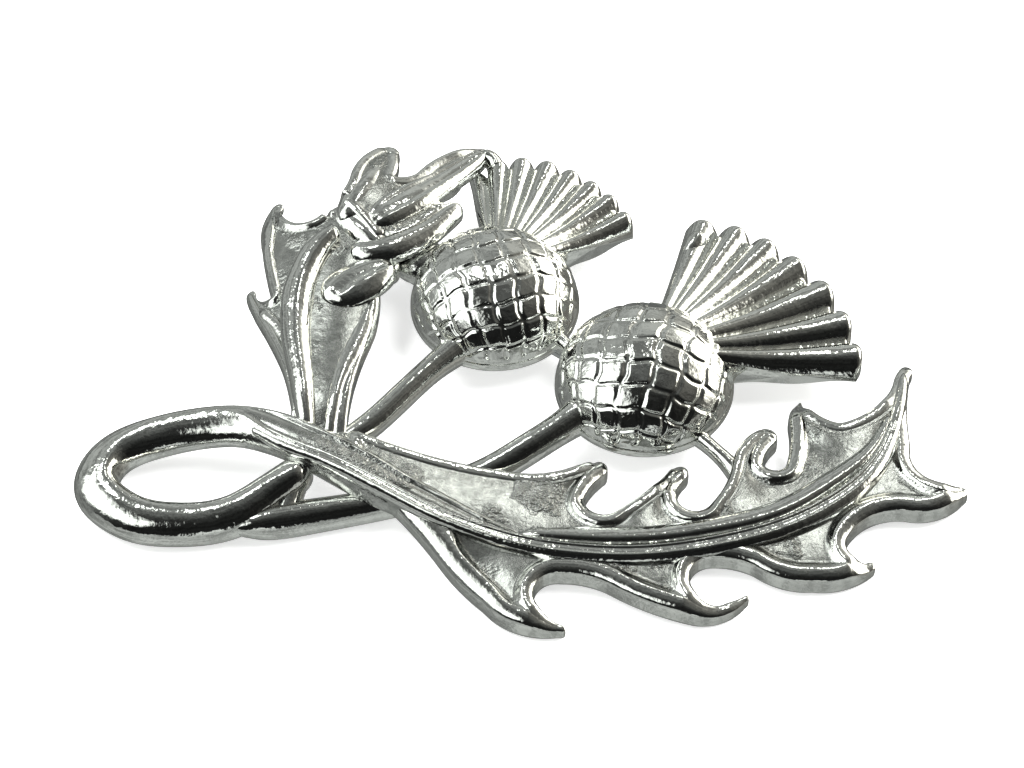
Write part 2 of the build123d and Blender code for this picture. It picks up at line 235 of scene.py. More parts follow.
def flow(rows, count):
    """Even places along a smooth curve: a natural cubic spline over the rows' chord length."""
    rows = np.asarray(rows, float)
    length = np.concatenate([[0], np.cumsum(np.linalg.norm(np.diff(rows[:, :3], axis=0), axis=1))])
    gap = np.diff(length)[:, None]
    size = len(rows)
    system = np.eye(size)
    slope = np.diff(rows, axis=0) / gap
    right = np.zeros_like(rows)
    inner = np.arange(1, size - 1)
    system[inner, inner - 1] = gap[:-1, 0]
    system[inner, inner] = 2 * (gap[:-1, 0] + gap[1:, 0])
    system[inner, inner + 1] = gap[1:, 0]
    right[1:-1] = 6 * np.diff(slope, axis=0)
    bend = np.linalg.solve(system, right)
    place = np.linspace(0, length[-1], count)
    span = np.clip(np.searchsorted(length, place, side="right") - 1, 0, size - 2)
    before = (place - length[span])[:, None]
    after = (length[span + 1] - place)[:, None]
    width = gap[span]
    return ((bend[span] * after**3 + bend[span + 1] * before**3) / (6 * width)
            + (rows[span] / width - bend[span] * width / 6) * after
            + (rows[span + 1] / width - bend[span + 1] * width / 6) * before)


# Points laid on each arc and on the straight that closes the chain, before they are evened out
ARC_POINTS = 60
CLOSING_POINTS = 30
# How often a corner and the rim's columns are averaged with their neighbours
CORNER_PASSES = 5
RIM_PASSES = 90


def eased(columns, passes):
    """Columns round a closed chain, each time averaged with their neighbours by 1, 2 and 1."""
    for _ in range(passes):
        columns = (np.roll(columns, 1, 0) + 2 * columns + np.roll(columns, -1, 0)) / 4
    return columns


def arc_chain(start, rows):
    """Even places along a closed chain of arcs, with the rim's columns at each.

    Each row is a point on the way, the arc's end and the rim's columns along it. The circle
    through three points gives each arc. The corners are eased over about a tenth of a
    millimetre and the rim's columns over about two millimetres.
    """
    places, rims = [], []
    here = np.array(start, float)
    for row in rows:
        via, there = np.array(row[0:2]), np.array(row[2:4])
        one, two = via - here, there - here
        cross = 2 * (one[0] * two[1] - one[1] * two[0])
        step = np.linspace(0, 1, ARC_POINTS, endpoint=False)
        middle = here + np.array([two[1] * one @ one - one[1] * two @ two,
                                  one[0] * two @ two - two[0] * one @ one]) / cross
        first = math.atan2(*(here - middle)[::-1])
        turn = math.atan2(*(there - middle)[::-1]) - first
        turn = (turn if cross > 0 else -turn) % (2 * math.pi) * (1 if cross > 0 else -1)
        angle = first + turn * step
        radius = np.hypot(*(here - middle))
        places.append(middle + radius * np.stack([np.cos(angle), np.sin(angle)], -1))
        rims.append(np.tile(row[4:], (ARC_POINTS, 1)))
        here = there
    closing = np.linspace(0, 1, CLOSING_POINTS, endpoint=False)[:, None]
    places.append(here + closing * (np.array(start) - here))
    rims.append(np.tile(rows[-1][4:], (CLOSING_POINTS, 1)))
    chain = np.concatenate([np.concatenate(places), np.concatenate(rims)], 1)
    chain = np.concatenate([chain, chain[:1]])
    length = np.concatenate([[0], np.cumsum(np.hypot(*np.diff(chain[:, :2], axis=0).T))])
    even = np.linspace(0, length[-1], int(length[-1] / EDGE_STEP), endpoint=False)
    chain = np.stack([np.interp(even, length, column) for column in chain.T], -1)
    chain = np.concatenate([eased(chain[:, :2], CORNER_PASSES), eased(chain[:, 2:], RIM_PASSES)], 1)
    x, y = chain[:, 0], chain[:, 1]
    area = (x * np.roll(y, -1) - y * np.roll(x, -1)).sum()
    return chain if area > 0 else chain[::-1]


def smooth_step(low, high, value):
    """0 under low, 1 over high and an even S between them."""
    share = np.clip((value - low) / (high - low), 0, 1)
    return share * share * (3 - 2 * share)


# Stems, ridges and lobes


# What a plain row leaves out: the channel's depth and share, the lean and the satin
PLAIN_ROW = (0, 0.5, 0, 0)
# The arched top's height, at most these shares of the thickness and of the width
CROWN_BY_THICKNESS = 0.70
CROWN_BY_WIDTH = 0.58
# The share of a channel's half width that is its flat floor
CHANNEL_FLOOR = 0.45
# The rounded side and flat back: out from the middle, and up over the back
FOOT = np.array([0.995, 0.97, 0.92, 0.84, 0.74, 0.62, 0.0])
FOOT_LIFT = np.array([0.75, 0.48, 0.26, 0.12, 0.04, 0.0, 0.0])
# Where satin begins and is full, by the channel's depth and by the distance from the crest, and
# the least satin of the sides and the back, whose duller colour there is partly painted shade
CHANNEL_SATIN = (0.04, 0.10)
FLANK_SATIN = (0.55, 0.8)
SIDE_SATIN_AND_SHADE = 0.4
# What is left of the section at the very end of a nose, squared
NOSE_END = 0.0004


def limb(name, rows, count, noses=(0, 0), around=48):
    """A stem or lobe: an elliptic arch over rounded sides and a flat back, along a path.

    Each row is x, y, height of the top, width and thickness, then where they are needed the
    channel's depth, its half width as a share of the limb's, the crest's lean to the left of
    the way and how satin the channel and the flanks are. Over a nose's length at an end the
    section shrinks as a quarter circle does.
    """
    path = flow([(*row, *PLAIN_ROW[len(row) - 5:]) for row in rows], count)
    middle = path[:, :3]
    width, thick, channel, share, lean, dull = path[:, 3:].T[..., None]
    run = np.concatenate([[0], np.cumsum(np.linalg.norm(np.diff(middle, axis=0), axis=1))])
    nose = np.ones(count)
    for length, away in zip(noses, (run, run[-1] - run)):
        if length:
            nose *= np.sqrt(np.clip(1 - (1 - np.minimum(away / length, 1)) ** 2, NOSE_END, 1))
    nose = nose[:, None]
    along = np.gradient(middle, axis=0)
    along /= np.linalg.norm(along, axis=1)[:, None]
    side = np.cross(UP, along)
    side /= np.linalg.norm(side, axis=1)[:, None]
    rise = np.cross(along, side)

    across = np.cos(np.linspace(0, math.pi, around))[None]
    from_crest = (across - lean) / np.where(across > lean, 1 - lean, 1 + lean)
    dome = np.sqrt(np.clip(1 - from_crest**2, 0, 1))
    crown = np.minimum(CROWN_BY_THICKNESS * thick, CROWN_BY_WIDTH * width)
    flank = np.abs(across - lean)
    hollow = channel * (1 - smooth_step(CHANNEL_FLOOR * share, np.maximum(share, 0.01), flank))
    top_x = across * width / 2 * nose
    top_z = (dome * nose - 1) * crown - hollow * nose
    foot = np.concatenate([FOOT, -FOOT[-2::-1]])[None]
    lift = np.concatenate([FOOT_LIFT, FOOT_LIFT[-2::-1]])[None]
    low_x = -foot * width / 2 * nose
    low_z = -thick + lift * (thick - crown)
    section_x = np.concatenate([top_x, low_x], 1)[..., None]
    section_z = np.concatenate([top_z, low_z], 1)[..., None]
    grid = middle[:, None] + side[:, None] * section_x + rise[:, None] * section_z
    grid[..., 2] = np.maximum(grid[..., 2], FLOOR_CLEARANCE)
    satin_top = dull * np.maximum(smooth_step(*CHANNEL_SATIN, hollow), smooth_step(*FLANK_SATIN, flank))
    # The sides and back are dulled at least this far: partly a satin finish, partly painted shade
    satin = np.concatenate([satin_top, np.maximum(dull, SIDE_SATIN_AND_SHADE) * np.ones(low_z.shape)], 1)
    lay_piece(name, *tube(grid), satin=np.concatenate([satin.ravel(), [0, 0]]))


# The rows of every limb below have the columns that limb names. This one goes from the nose under
# the crossing round the loop, over the crossing and down into the leaf
loop_rows = [
    (-13.7, -9.5, 4.05, 2.5, 2.1, 0, 0.5, 0.2),
    (-15.0, -10.5, 3.9, 2.55, 2.2, 0, 0.5, 0.15),
    (-16.6, -11.6, 3.5, 2.6, 2.3),
    (-18.3, -12.7, 3.15, 2.85, 2.4, 0, 0.5, -0.1),
    (-20.3, -13.25, 2.8, 2.95, 2.35, 0, 0.5, -0.15),
    (-22.6, -13.35, 2.7, 3.0, 2.35, 0, 0.5, -0.2),
    (-24.8, -13.05, 2.7, 3.1, 2.4, 0, 0.5, -0.25),
    (-26.8, -12.0, 2.8, 3.15, 2.45, 0, 0.5, -0.35),
    (-28.1, -10.2, 2.95, 3.1, 2.45, 0, 0.5, -0.4),
    (-27.4, -8.15, 3.15, 3.0, 2.35, 0, 0.5, -0.2),
    (-24.4, -6.7, 3.55, 2.9, 2.15, 0, 0.5, 0.25),
    (-20.5, -6.25, 4.1, 2.85, 2.05, 0, 0.5, 0.4),
    (-18.2, -6.5, 4.45, 2.95, 2.0, 0.05, 0.3, 0.35),
    (-17.2, -6.8, 4.62, 3.1, 2.0, 0.18, 0.5, 0.2, 0.4),
    (-14.2, -8.15, 4.85, 3.3, 2.0, 0.32, 0.62, 0, 1),
    (-10.9, -9.9, 4.65, 3.3, 2.4, 0.34, 0.60, 0, 1),
    (-7.5, -11.8, 4.1, 3.0, 2.4, 0.32, 0.55, 0, 1),
    (-4.8, -13.1, 3.5, 2.6, 1.9, 0.26, 0.5, 0, 1),
    (-2.1, -14.3, 2.9, 2.0, 1.4, 0.2, 0.45, 0, 1),
    (0.8, -15.3, 2.3, 1.4, 1.0, 0.1, 0.4, 0, 1),
]
limb("loop_stem", loop_rows, 620, noses=(1.6, 0.8))

# The grooved midrib starts in a closed end on the crossing and runs to the leaf's tip
midrib_rows = [
    (-17.7, -7.25, 4.4, 0.9, 1.0, 0.0, 0.5),
    (-16.9, -7.7, 4.55, 1.1, 1.0, 0.12, 0.5),
    (-15.6, -8.55, 4.65, 1.2, 1.0, 0.16, 0.5),
    (-13.0, -9.8, 4.68, 1.2, 1.0, 0.16, 0.5),
    (-10.3, -11.2, 4.45, 1.2, 1.0, 0.16, 0.5),
    (-7.67, -12.6, 4.05, 1.2, 1.1, 0.16, 0.5),
    (-5.5, -13.75, 3.7, 1.2, 1.1, 0.16, 0.5),
    (-2.93, -14.8, 3.35, 1.25, 1.2, 0.16, 0.5),
    (0.5, -15.85, 3.0, 1.4, 1.3, 0.17, 0.48),
    (4.2, -16.45, 2.85, 1.5, 1.3, 0.18, 0.45),
    (8.9, -16.55, 2.8, 1.6, 1.3, 0.18, 0.42),
    (13.7, -15.75, 2.8, 1.65, 1.3, 0.18, 0.42),
    (18.4, -14.2, 2.85, 1.7, 1.3, 0.17, 0.42),
    (22.1, -11.9, 2.9, 1.65, 1.3, 0.15, 0.4),
    (24.0, -10.0, 2.9, 1.55, 1.3, 0.12, 0.4),
    (25.3, -7.8, 2.85, 1.4, 1.3, 0.08, 0.4),
    (26.2, -5.2, 2.7, 1.15, 1.2, 0.03, 0.4),
    (26.8, -2.7, 2.5, 0.9, 1.1),
    (27.1, -0.6, 2.2, 0.5, 0.8),
]
limb("midrib", midrib_rows, 620, noses=(0.5, 1.0), around=40)

# A low ridge behind the midrib, with a dark groove between them
far_ridge_rows = [
    (0.6, -14.9, 2.6, 0.8, 1.0, 0, 0.5, -0.3),
    (4.2, -15.0, 2.68, 1.5, 1.0, 0, 0.5, -0.35),
    (8.9, -15.0, 2.7, 1.6, 1.0, 0, 0.5, -0.35),
    (13.6, -14.25, 2.72, 1.6, 1.0, 0, 0.5, -0.35),
    (18.2, -12.7, 2.75, 1.6, 1.0, 0, 0.5, -0.35),
    (21.7, -10.25, 2.78, 1.5, 1.0, 0, 0.5, -0.35),
    (23.8, -8.4, 2.75, 1.3, 1.0, 0, 0.5, -0.3),
    (25.1, -6.5, 2.65, 1.0, 1.0, 0, 0.5, -0.2),
    (25.9, -4.6, 2.5, 0.7, 0.9),
]
limb("far_ridge", far_ridge_rows, 400, noses=(1.2, 1.0), around=32)

# The first thistle's stem comes out from under the crossing
first_stem_rows = [
    (-13.6, -8.9, 2.4, 1.7, 1.6),
    (-12.3, -7.8, 2.9, 1.75, 1.65),
    (-10.0, -6.0, 3.4, 1.75, 1.65),
    (-7.3, -3.1, 3.75, 1.75, 1.65),
    (-5.2, -0.7, 3.9, 1.85, 1.7),
    (-4.1, 0.5, 4.0, 2.3, 1.8),
    (-3.2, 1.6, 4.2, 3.1, 1.9),
]
limb("first_stem", first_stem_rows, 220)

# The second thistle's stem, from its crease in the loop under the leaf to the other globe
second_stem_rows = [
    (-19.0, -13.9, 1.9, 0.8, 0.9),
    (-17.7, -13.65, 2.3, 1.6, 1.7),
    (-16.0, -13.2, 2.5, 2.2, 2.1),
    (-13.5, -12.6, 2.45, 2.3, 2.1),
    (-10.0, -11.8, 2.3, 2.1, 2.0),
    (-6.0, -10.7, 2.3, 2.0, 2.0),
    (-1.7, -9.2, 2.8, 2.0, 2.0),
    (1.2, -7.5, 3.4, 2.05, 2.0),
    (3.4, -6.0, 3.8, 2.2, 2.0),
    (4.4, -5.2, 4.0, 2.6, 2.1),
    (5.4, -4.4, 4.2, 3.2, 2.1),
]
limb("second_stem", second_stem_rows, 260, noses=(0.7, 0))

# The web in the fork between the loop's nose and the second stem
fork_rows = [
    (-14.4, -10.2, 3.4, 1.5, 1.6),
    (-14.7, -11.0, 3.1, 1.6, 1.6),
    (-15.0, -11.9, 2.7, 1.7, 1.5),
    (-15.2, -12.8, 2.4, 2.0, 1.4),
]
limb("fork_web", fork_rows, 60, noses=(0.4, 0))


# Thistle heads


# Points of a globe from its top to its rim, and round it
GLOBE_RINGS = 150
GLOBE_ROUND = 360
# Evens out the arc's length over a dome that is lower than it is wide
ARC_SHARE = 0.97
# How a tile's edges stray, slowly and quickly: how far, in tiles, and the turn per tile
ACROSS_WAVES = ((0.08, 2.3), (0.03, 7.1))
ALONG_WAVES = ((0.10, 1.9), (0.04, 5.7))
# The grooves' depth, the share of it that is left on average, how far that swings from place to
# place, and the turn per tile of the swing
TILE_RELIEF = 0.16
WORN_MEAN = 0.68
WORN_SWING = 0.32
WORN_RATES = (1.7, 2.1)
# How far from a tile's edge a groove's side begins and ends
GROOVE_ACROSS = (0.03, 0.30)
GROOVE_ALONG = (0.02, 0.22)
# How far a plate is dished and how far it leans, and the turns that scatter the leaning
PLATE_DISH = 0.03
PLATE_LEAN = 0.05
LEAN_ACROSS = (12.9898, 78.233)
LEAN_ALONG = (39.425, 17.13)
# Where on the way from the top to the rim the relief fades out
RELIEF_FADE = (0.90, 0.96)


def globe(name, centre, radius, base, band, rise, tile, bearing, seed):
    """A tiled dome on a plain band.

    The dome is half an ellipsoid. Its tiles are flat plates parted by narrow rounded grooves,
    which follow a turned, wavy square lattice over the dome's arc and are worn shallower in
    places; each plate leans a little its own way. Rows go from the top out and down the band.
    """
    tilt = np.linspace(0, math.pi / 2, GLOBE_RINGS)[:, None]
    turn = np.linspace(0, 2 * math.pi, GLOBE_ROUND, endpoint=False)[None]
    out = np.sin(tilt)
    arc = tilt * (radius + rise) / 2 * ARC_SHARE
    turned = turn - math.radians(bearing)
    across, along = arc * np.cos(turned) / tile[0], arc * np.sin(turned) / tile[1]
    (slow, slow_rate), (quick, quick_rate) = ACROSS_WAVES
    across = across + slow * np.sin(slow_rate * along + seed)
    across = across + quick * np.sin(quick_rate * along + 3 * seed) + 0.5
    (slow, slow_rate), (quick, quick_rate) = ALONG_WAVES
    along = along + slow * np.sin(slow_rate * across + 2 * seed) + quick * np.sin(quick_rate * across)
    worn = np.sin(WORN_RATES[0] * across + seed) * np.sin(WORN_RATES[1] * along - seed)
    worn = WORN_MEAN + WORN_SWING * worn
    plate_x, plate_y = np.floor(across), np.floor(along)
    cell_x, cell_y = across - plate_x, along - plate_y
    lean_x = np.sin(LEAN_ACROSS[0] * plate_x + LEAN_ACROSS[1] * plate_y + seed)
    lean_y = np.sin(LEAN_ALONG[0] * plate_x + LEAN_ALONG[1] * plate_y + 3 * seed)
    edge_x = np.minimum(cell_x, 1 - cell_x) * tile[0]
    edge_y = np.minimum(cell_y, 1 - cell_y) * tile[1]
    face = smooth_step(*GROOVE_ACROSS, edge_x) * smooth_step(*GROOVE_ALONG, edge_y)
    pillow = (1 - (2 * cell_x - 1) ** 2) * (1 - (2 * cell_y - 1) ** 2)
    lean = (lean_x * (cell_x - 0.5) + lean_y * (cell_y - 0.5)) * face
    fade = 1 - smooth_step(*RELIEF_FADE, tilt / tilt[-1])
    lift = (TILE_RELIEF * worn * (face - 1) - PLATE_DISH * pillow + PLATE_LEAN * lean) * fade
    normal = np.stack([out * np.cos(turn), out * np.sin(turn), np.cos(tilt) + 0 * turn], -1)
    top = normal * np.array([radius, radius, rise]) + normal * lift[..., None]
    # The band's profile: out from the dome's radius, and up from the dome's foot
    edge = np.array([(0.03, -0.03), (0.07, -0.12), (0.08, -0.5), (0.04, -band + 0.08),
                     (-0.06, -band), (-0.6, -band), (0.05 - radius, -band)])
    circle = np.stack([np.cos(turn[0]), np.sin(turn[0]), 0 * turn[0]], -1)
    skirt = circle[None] * (radius + edge[:, 0])[:, None, None] + UP * edge[:, 1][:, None, None]
    grid = np.concatenate([top, skirt]) + np.array([*centre, base + band])
    lay_piece(name, *tube(grid))


globe("first_globe", (-1.2, 5.3), 5.85, 2.0, 0.75, 4.45, (1.55, 1.5), 15, 0.4)
globe("second_globe", (9.1, -2.1), 6.1, 2.0, 0.75, 4.55, (1.68, 1.6), -14, 1.3)

# Points across a rib, along its top, over its end and back under it
RIB_POINTS = 26
TOP_POINTS = 60
END_POINTS = 12
BACK_POINTS = 24
# A rib's section: the power that rounds its ridge, and its depth as a share of its half width
RIDGE_POWER = 2.4
RIB_DEPTH = 0.85
# How far the end is scalloped, as a share of the half width, and how far it rolls over
SCALLOP = 0.34
TURN_OVER = 0.45
# Where the roll begins, as a share of its quarter turn, and where it stops short of upright
ROLL_START = 0.08
ROLL_END = 0.999
# The powers by which the crest comes down and a low rib goes lower, from the root to the tip
CREST_POWER = 0.8
DROP_POWER = 0.5
# How far the crest sags, the height of the end wall's upper row over the base, the back's waves,
# and how far the two sides stand out past the last ribs
CREST_SAG = 0.25
WALL_TOP = 0.25
BACK_WAVE = 0.12
BACK_WAVE_RATE = 11
SIDE_BEVEL = 0.03


def tuft(name, centre, ribs, root, root_height, tip_height, base):
    """A fan of ribs, each with its bearing, its length and how far it lies below the rest.

    Across a rib the top is a soft ridge between two nearly flat flanks, and it widens with the
    distance from the globe, so the ribs meet in sharp valleys. Along it the crest sags a little
    and rolls over the scalloped end into an upright wall. The underside is slightly wavy.
    """
    bearing, length, drop = np.array(ribs, float).T
    edge = np.concatenate([[1.5 * bearing[0] - 0.5 * bearing[1]], (bearing[1:] + bearing[:-1]) / 2,
                           [1.5 * bearing[-1] - 0.5 * bearing[-2]]])
    local = -np.cos(math.pi * (np.arange(RIB_POINTS) + 0.5) / RIB_POINTS)
    angle = (edge[:-1, None] + (edge[1:] - edge[:-1])[:, None] * (local + 1) / 2).ravel()
    local = np.tile(local, len(ribs))
    reach, drop = np.repeat(length, RIB_POINTS), np.repeat(drop, RIB_POINTS)
    half = np.radians(np.repeat(np.abs(np.diff(edge)), RIB_POINTS)) / 2
    arch = 1 - np.abs(local) ** RIDGE_POWER
    end = reach - half * reach * SCALLOP * np.abs(local) ** 2
    roll = np.sin(np.linspace(ROLL_START, 1, END_POINTS) * math.pi / 2)
    along = np.concatenate([np.linspace(0, 1, TOP_POINTS), np.ones(END_POINTS)])[:, None]
    over = np.concatenate([np.zeros(TOP_POINTS), roll])[:, None]
    fall = 1 - np.sqrt(1 - np.minimum(over, ROLL_END) ** 2)
    distance = root + (end - TURN_OVER - root)[None] * along + TURN_OVER * over
    crest = root_height + (tip_height - root_height) * along**CREST_POWER
    crest = crest - CREST_SAG * np.sin(math.pi * along)
    depth = half[None] * distance * RIB_DEPTH
    z = crest - depth * (1 - arch)[None] - TURN_OVER * fall - drop[None] * along**DROP_POWER
    direction = np.radians(angle)
    top = np.stack([distance * np.cos(direction), distance * np.sin(direction), z], -1)
    top = top + np.array([*centre, 0])
    wall = top[[0, -1]].copy()
    wall[..., 2] = base
    back = np.linspace(0, 1, BACK_POINTS)[:, None, None]
    under = wall[1:] + (wall[:1] - wall[1:]) * back
    under[..., 2] += BACK_WAVE * np.sin(BACK_WAVE_RATE * back[..., 0])
    # Over the top from root to tip, down the tips' wall and back under, as one closed round
    grid = np.swapaxes(np.concatenate([top, wall[1:] + [0, 0, WALL_TOP], under]), 0, 1)
    turn = np.radians(angle[[0, -1]])
    bevel = SIDE_BEVEL * np.stack([-np.sin(turn), np.cos(turn), [-1, 1]], -1)
    lay_piece(name, *tube(np.concatenate([grid[:1] + bevel[0], grid, grid[-1:] - bevel[1]])))


# Each rib: its bearing, its length and how far it lies below the rest
first_ribs = [
    (95.8, 12.0, 1.0), (89.5, 12.4, 0.1), (80.9, 12.7, 0), (72.6, 12.8, 0),
    (63.4, 12.6, 0), (54.9, 12.4, 0), (46.3, 12.2, 0), (36.8, 11.9, 0.1),
]
second_ribs = [
    (71.7, 14.6, 0), (62.1, 14.95, 0), (52.9, 15.05, 0), (42.8, 15.1, 0),
    (30.5, 15.2, 0), (18.0, 15.1, 0), (6.6, 15.1, 0.1),
]
tuft("first_tuft", (-1.2, 5.3), first_ribs, 4.4, 5.3, 4.35, 2.5)
tuft("second_tuft", (9.1, -2.1), second_ribs, 4.7, 5.4, 4.35, 2.5)


# Leaves


# Steps along a leaf in which its arched top is tabled
ARCH_STEPS = 400
# Places read at a time, and what keeps the weight of a place on the edge from running away
READING_BATCH = 4000
NEAREST_SQUARE = 0.01
# How steeply a rim's shoulder falls, and how far the narrowest tips lie below the arched top
SHOULDER = 0.55
TIP_FALL = 0.9
# Half widths of a tip between which it is lowered, and the most of one that the crest takes
TIP_ROOM = (0.1, 1.0)
CREST_SHARE = 0.92
# Points across the strip, from the field to the crest and from the crest to the edge
INNER_POINTS = 14
OUTER_POINTS = 13
# How far the strip reaches past the rim's lip
STRIP_OVERLAP = 0.12
# The reach where nothing lies in front of the edge, how far in front a place has to lie to
# count, and how often the reach is eased
OPEN_REACH = 99.0
LEAST_FACING = 1e-3
REACH_PASSES = 10
# The wall and the back's rim: the share of the way down and how far in, which is at most a share
# of the room
INSET_SHARE = 0.9
WALL_ROWS = ((0.3, -0.02), (0.75, -0.02), (0.93, 0.0), (1.0, 0.10), (1.0, 0.5))
# The net's places keep this share of the strip's width and this distance from the edge
NET_SHARE = 0.6
NET_MARGIN = 0.2
# Where under the strip's edge the net comes up, as shares of the strip's width
NET_RISE = (0.97, 1.03)
# Where a field's satin begins and is full, as shares of the lip, and the satin elsewhere; on the walls the
# duller satin colour is partly painted shade
FIELD_SATIN = (0.5, 0.9)
WALL_SATIN_AND_SHADE = 0.4
BACK_SATIN = 0.8


def arch_height(stations, places, swap=False):
    """Height of a leaf's arched top: across each station a parabola through three points, and
    the three points run smoothly from station to station."""
    along = places[..., 1] if swap else places[..., 0]
    across = places[..., 0] if swap else places[..., 1]
    table = flow([(row[0], 0, 0, *row[1:]) for row in stations], ARCH_STEPS)
    a, za, b, zb, c, zc = (np.interp(along, table[:, 0], table[:, 3 + n]) for n in range(6))
    return (za * (across - b) * (across - c) / ((a - b) * (a - c))
            + zb * (across - a) * (across - c) / ((b - a) * (b - c))
            + zc * (across - a) * (across - b) / ((c - a) * (c - b)))


def edge_reading(places, line, rims):
    """From each place: the distance to the nearest point of the edge, which one it is, and the
    rim's columns, blended from the whole edge by the fourth power of nearness."""
    distance = np.empty(len(places))
    which = np.empty(len(places), int)
    blended = np.empty((len(places), rims.shape[1]))
    for first in range(0, len(places), READING_BATCH):
        part = slice(first, first + READING_BATCH)
        square = ((places[part, None, 0] - line[None, :, 0]) ** 2
                  + (places[part, None, 1] - line[None, :, 1]) ** 2)
        which[part] = square.argmin(1)
        distance[part] = np.sqrt(square.min(1))
        weight = 1 / (square + NEAREST_SQUARE) ** 2
        blended[part] = weight @ rims / weight.sum(1)[:, None]
    return distance, which, blended


def room_inside(line, inward):
    """The radius of the largest circle inside an outline that touches it at each point."""
    gap = line[None] - line[:, None]
    facing = (gap * inward[:, None]).sum(-1)
    radius = (gap**2).sum(-1) / (2 * np.maximum(facing, LEAST_FACING))
    reach = np.where(facing > LEAST_FACING, radius, OPEN_REACH).min(1)
    for _ in range(REACH_PASSES):
        reach = np.minimum(reach, (np.roll(reach, 1) + reach + np.roll(reach, -1)) / 3)
    return reach


def blade(name, start, edge_rows, stations, thick, swap=False):
    """A leaf blade: an edge strip carried round the outline and a net laid inside it.

    An edge row ends with the rim's round, lip and hollow: how far in its crest lies, how wide
    the fall behind the crest is, and how deep the field behind it. The strip goes from inside
    the rim over its crest, down the wall and back under, and reaches in no further than half
    way to the opposite edge. Strip and net take their height from one function of the place;
    the net lies a hair lower where the strip covers it.
    """
    chain = arc_chain(start, edge_rows)
    line, rims = chain[:, :2], chain[:, 2:]
    tangent = np.roll(line, -2, 0) - np.roll(line, 2, 0)
    tangent /= np.linalg.norm(tangent, axis=1)[:, None]
    inward = np.stack([-tangent[:, 1], tangent[:, 0]], -1)
    reach = room_inside(line, inward)

    def top(places, distance, rim, room):
        """Arch, rounded shoulder outside the crest, hollow inside, and lowered narrow tips."""
        round_, lip, hollow = rim[..., 0], rim[..., 1], rim[..., 2]
        crest = np.minimum(round_, CREST_SHARE * room)
        outside = np.clip(1 - distance / crest, 0, 1)
        height = arch_height(stations, places, swap)
        height -= SHOULDER * crest * (1 - np.sqrt(np.clip(1 - outside**2, 0, 1)))
        height -= hollow * smooth_step(round_, round_ + lip, distance)
        return height - TIP_FALL * (1 - smooth_step(*TIP_ROOM, room))

    def field_satin(distance, rim):
        """Satin of the field behind the rim, by how far over its lip a place lies."""
        return smooth_step(*FIELD_SATIN, (distance - rim[:, 0]) / rim[:, 1])

    crest = np.minimum(rims[:, 0], CREST_SHARE * reach)
    span = np.minimum(reach, rims[:, 0] + rims[:, 1] + STRIP_OVERLAP)
    inner = np.linspace(1, 0, INNER_POINTS, endpoint=False)[:, None]
    outer = 1 - np.cos(np.linspace(math.pi / 2, 0, OUTER_POINTS))[:, None]
    distance = np.concatenate([crest + (span - crest) * inner, crest * outer])
    places = line + inward * distance[..., None]
    spread = np.broadcast_to(rims, (*distance.shape, 3)), np.broadcast_to(reach, distance.shape)
    strip = np.concatenate([places, top(places, distance, *spread)[..., None]], -1)
    brim = strip[-1, :, 2]
    floor = np.maximum(arch_height(stations, line, swap) - thick, FLOOR_CLEARANCE)
    under = []
    for share, inset in WALL_ROWS:
        place = line + inward * np.minimum(inset, reach * INSET_SHARE)[:, None]
        under.append(np.concatenate([place, (brim + (floor - brim) * share)[:, None]], -1))
    grid = np.concatenate([strip, np.stack(under)])
    points = grid.reshape(-1, 3)
    quads = grid_quads(*grid.shape[:2], closed=True)
    a, b, c = (points[quads[:len(line), corner]] for corner in range(3))
    if np.cross(b - a, c - a)[:, 2].sum() < 0:
        quads = quads[:, ::-1]
    field = field_satin(distance, rims)
    # The walls are dulled: partly a satin finish, partly painted shade
    satin = [field.ravel(), np.full(len(points) - field.size, WALL_SATIN_AND_SHADE)]

    xs = np.arange(line[:, 0].min(), line[:, 0].max() + NET_STEP, NET_STEP)
    ys = np.arange(line[:, 1].min(), line[:, 1].max() + NET_STEP, NET_STEP)
    net = np.stack(np.meshgrid(xs, ys), -1).reshape(-1, 2)
    away, which, rim = edge_reading(net, line, rims)
    inside = ((net - line[which]) * inward[which]).sum(-1) > 0
    keep = inside & (away > NET_SHARE * span[which]) & (away > NET_MARGIN)
    deck = top(net, away, rim, reach[which])
    deck -= HAIR * (1 - smooth_step(*NET_RISE, away / span[which]))
    back = np.maximum(arch_height(stations, net, swap) - thick, FLOOR_CLEARANCE) + HAIR
    cells = grid_quads(len(ys), len(xs))
    cells = cells[keep[cells].all(1)]
    used, cells = np.unique(cells, return_inverse=True)
    cells = cells.reshape(-1, 4) + len(points)
    corner = np.concatenate([net[used], deck[used, None]], -1)
    under = np.concatenate([net[used], back[used, None]], -1)
    satin += [field_satin(away[used], rim[used]), np.full(len(used), BACK_SATIN)]
    lay_piece(name, np.concatenate([points, corner, under]),
              np.concatenate([quads, cells, cells[:, ::-1] + len(used)]), np.concatenate(satin))


# Rims: how far in the crest lies, the lip behind it and the hollow's depth
SOFT = (0.3, 0.6, 0.08)
NOTCH = (0.75, 0.5, 0.40)
HOOK = (0.75, 0.5, 0.38)
BROAD = (0.75, 0.7, 0.14)
FRONT = (0.8, 0.8, 0.45)
FOLD = (1.15, 0.55, 0.65)
MERGING = (1.3, 0.7, 0.0)
POINT = (0.9, 0.5, 0.0)

